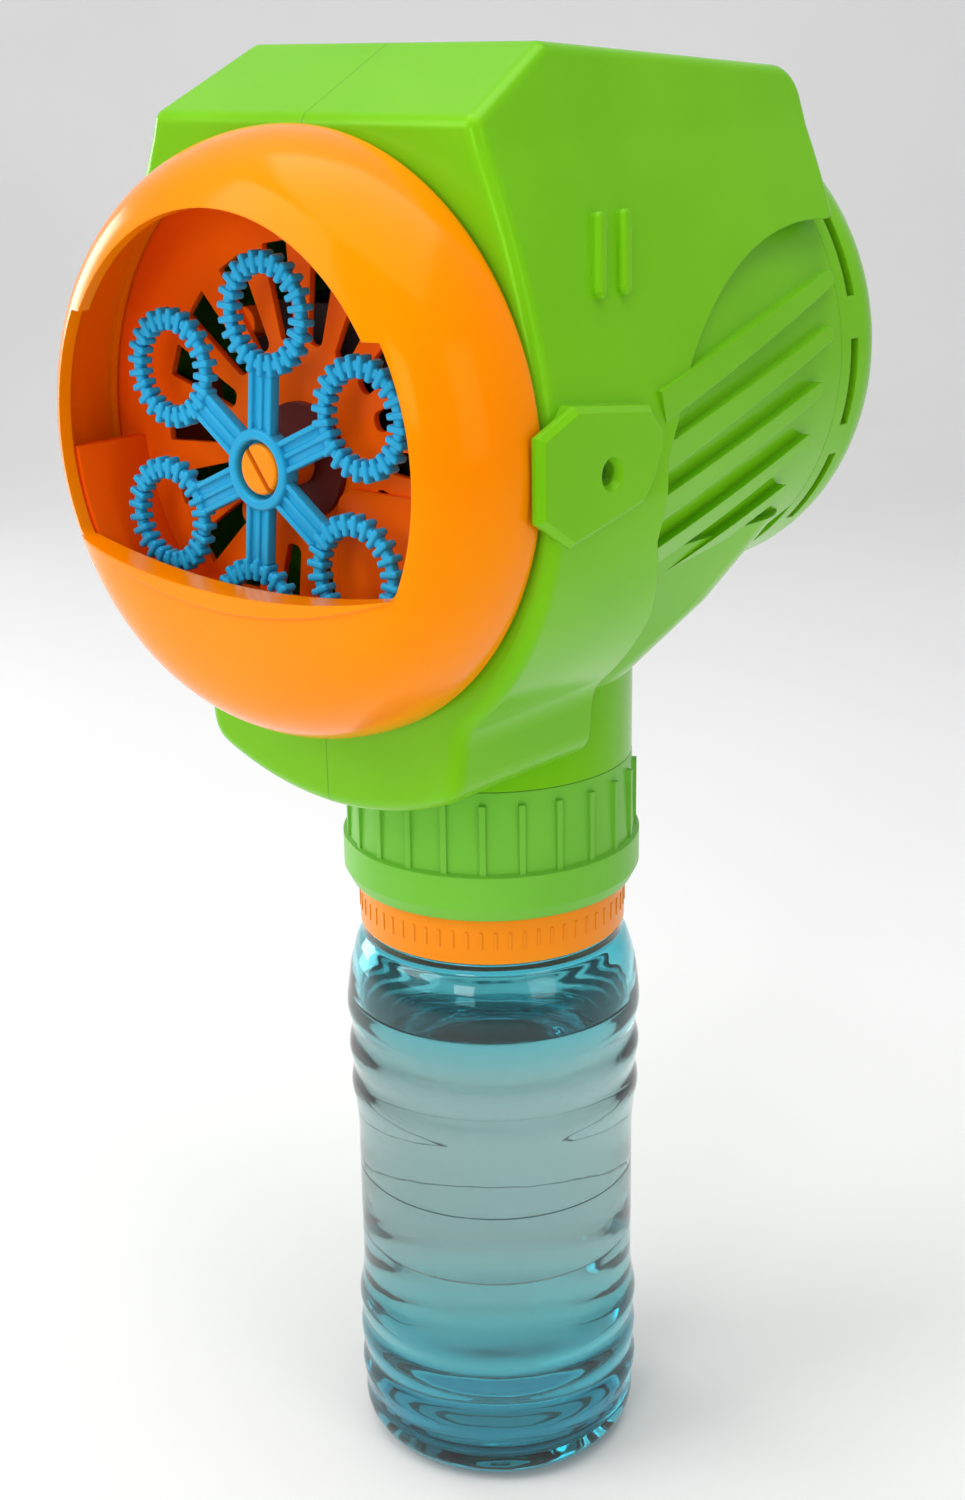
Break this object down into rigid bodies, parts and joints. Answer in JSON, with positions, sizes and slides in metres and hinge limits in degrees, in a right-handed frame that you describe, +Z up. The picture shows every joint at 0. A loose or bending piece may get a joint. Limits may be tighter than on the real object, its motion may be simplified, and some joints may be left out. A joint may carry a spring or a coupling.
{
  "type": "bubble machine",
  "caption": "Handheld battery bubble blower: round nose with a turning wand wheel in front of a fan, on a screw-in bottle of solution.",
  "frame": {"origin": "centre of the bottle's base, on the surface it stands on", "axes": "+Z up the bottle, -Y the way the bubbles leave, +X to the user's right when looking along +Y from in front"},
  "size_m": [0.1016, 0.128, 0.265],
  "materials": {
    "casing": "moulded gloss",
    "cover": "moulded gloss",
    "pad": "pebbled",
    "collar": "moulded gloss",
    "bezel": "moulded gloss",
    "chamber": "moulded",
    "tray": "moulded",
    "wand": "moulded gloss",
    "spindle": "moulded",
    "bush": "moulded",
    "black_plastic": "moulded",
    "gear_plastic": "natural nylon",
    "pinion_brass": "machined",
    "steel": "ground",
    "motor_steel": "plated",
    "motor_cap": "moulded",
    "armature": "varnished winding",
    "screw_steel": "zinc plated",
    "contact_steel": "nickel plated",
    "cell": "printed sleeve, plain",
    "adapter": "moulded gloss",
    "seal": "soft",
    "tube": "soft silicone",
    "bottle": "clear tinted plastic",
    "solution": "clear liquid"
  },
  "bodies": {
    "casing": {"casing_right": "casing", "casing_left": "casing", "rear_cover": "cover", "battery_box": "black_plastic", "battery_left": "cell", "battery_middle": "cell", "battery_right": "cell", "battery_contacts": "contact_steel", "switch_body": "black_plastic", "switch_bracket": "casing", "front_bezel": "bezel", "chamber_back": "chamber", "bubble_tray": "tray", "spindle_bush": "bush", "layshaft": "steel", "slow_shaft_pin": "steel", "gearbox_front": "black_plastic", "gearbox_rear": "black_plastic", "gearbox_screws": "screw_steel", "motor_can": "motor_steel", "motor_end_cap": "motor_cap", "fan_shroud": "black_plastic", "neck_plate": "casing", "feed_tube": "tube", "side_screws": "screw_steel", "cover_screws": "screw_steel"},
    "fan_rotor": {"motor_pinion": "pinion_brass", "motor_armature": "armature", "motor_shaft": "steel", "fan_impeller": "black_plastic"},
    "first_gear_set": {"first_gear": "gear_plastic"},
    "second_gear_set": {"second_gear": "gear_plastic"},
    "third_gear_set": {"third_gear": "gear_plastic"},
    "wheel": {"wand_wheel": "wand", "wheel_spindle": "spindle", "output_gear": "gear_plastic"},
    "button": {"power_button": "pad", "switch_plunger": "motor_cap"},
    "collar": {"collar_ring": "collar"},
    "reservoir": {"bottle": "bottle", "bubble_solution": "solution", "bottle_adapter": "adapter", "neck_seal": "seal"},
    "door": {"battery_door": "cover"},
    "door_fastener": {"battery_door_screw": "screw_steel"}
  },
  "joints": [
    {"name": "wheel_spin", "type": "hinge", "parent": "casing", "child": "wheel", "pos_m": [0, 0, 0.202], "axis": [0, -1, 0], "continuous": true},
    {"name": "third_gear_spin", "type": "hinge", "parent": "casing", "child": "third_gear_set", "pos_m": [0.01166, 0, 0.2065], "axis": [0, -1, 0], "continuous": true},
    {"name": "second_gear_spin", "type": "hinge", "parent": "casing", "child": "second_gear_set", "pos_m": [0, 0, 0.202], "axis": [0, -1, 0], "continuous": true},
    {"name": "first_gear_spin", "type": "hinge", "parent": "casing", "child": "first_gear_set", "pos_m": [0.01166, 0, 0.2065], "axis": [0, -1, 0], "continuous": true},
    {"name": "fan_spin", "type": "hinge", "parent": "casing", "child": "fan_rotor", "pos_m": [0, 0, 0.211], "axis": [0, -1, 0], "continuous": true},
    {"name": "button_press", "type": "slide", "parent": "casing", "child": "button", "axis": [0, 0, -1], "range_m": [0, 0.0015], "stiffness_N_per_m": 900, "springref_m": -0.0005},
    {"name": "bottle_drop", "type": "slide", "parent": "casing", "child": "reservoir", "axis": [0, 0, -1], "range_m": [0, 0.008]},
    {"name": "collar_turn", "type": "hinge", "parent": "casing", "child": "collar", "pos_m": [0, 0, 0.13], "axis": [0, 0, 1], "range_deg": [0, 540]},
    {"name": "door_off", "type": "slide", "parent": "casing", "child": "door", "axis": [0, 1, 0], "range_m": [0, 0.03]},
    {"name": "door_screw_turn", "type": "hinge", "parent": "door", "child": "door_fastener", "pos_m": [0, 0.06, 0.2422], "axis": [0, 1, 0], "range_deg": [0, 1080]}
  ],
  "couplings": [
    {"joint": "third_gear_spin", "follows": "wheel_spin", "ratio": -4},
    {"joint": "second_gear_spin", "follows": "wheel_spin", "ratio": 16},
    {"joint": "first_gear_spin", "follows": "wheel_spin", "ratio": -64},
    {"joint": "fan_spin", "follows": "wheel_spin", "ratio": 256},
    {"joint": "collar_turn", "follows": "bottle_drop", "rad_per_m": 1178}
  ]
}
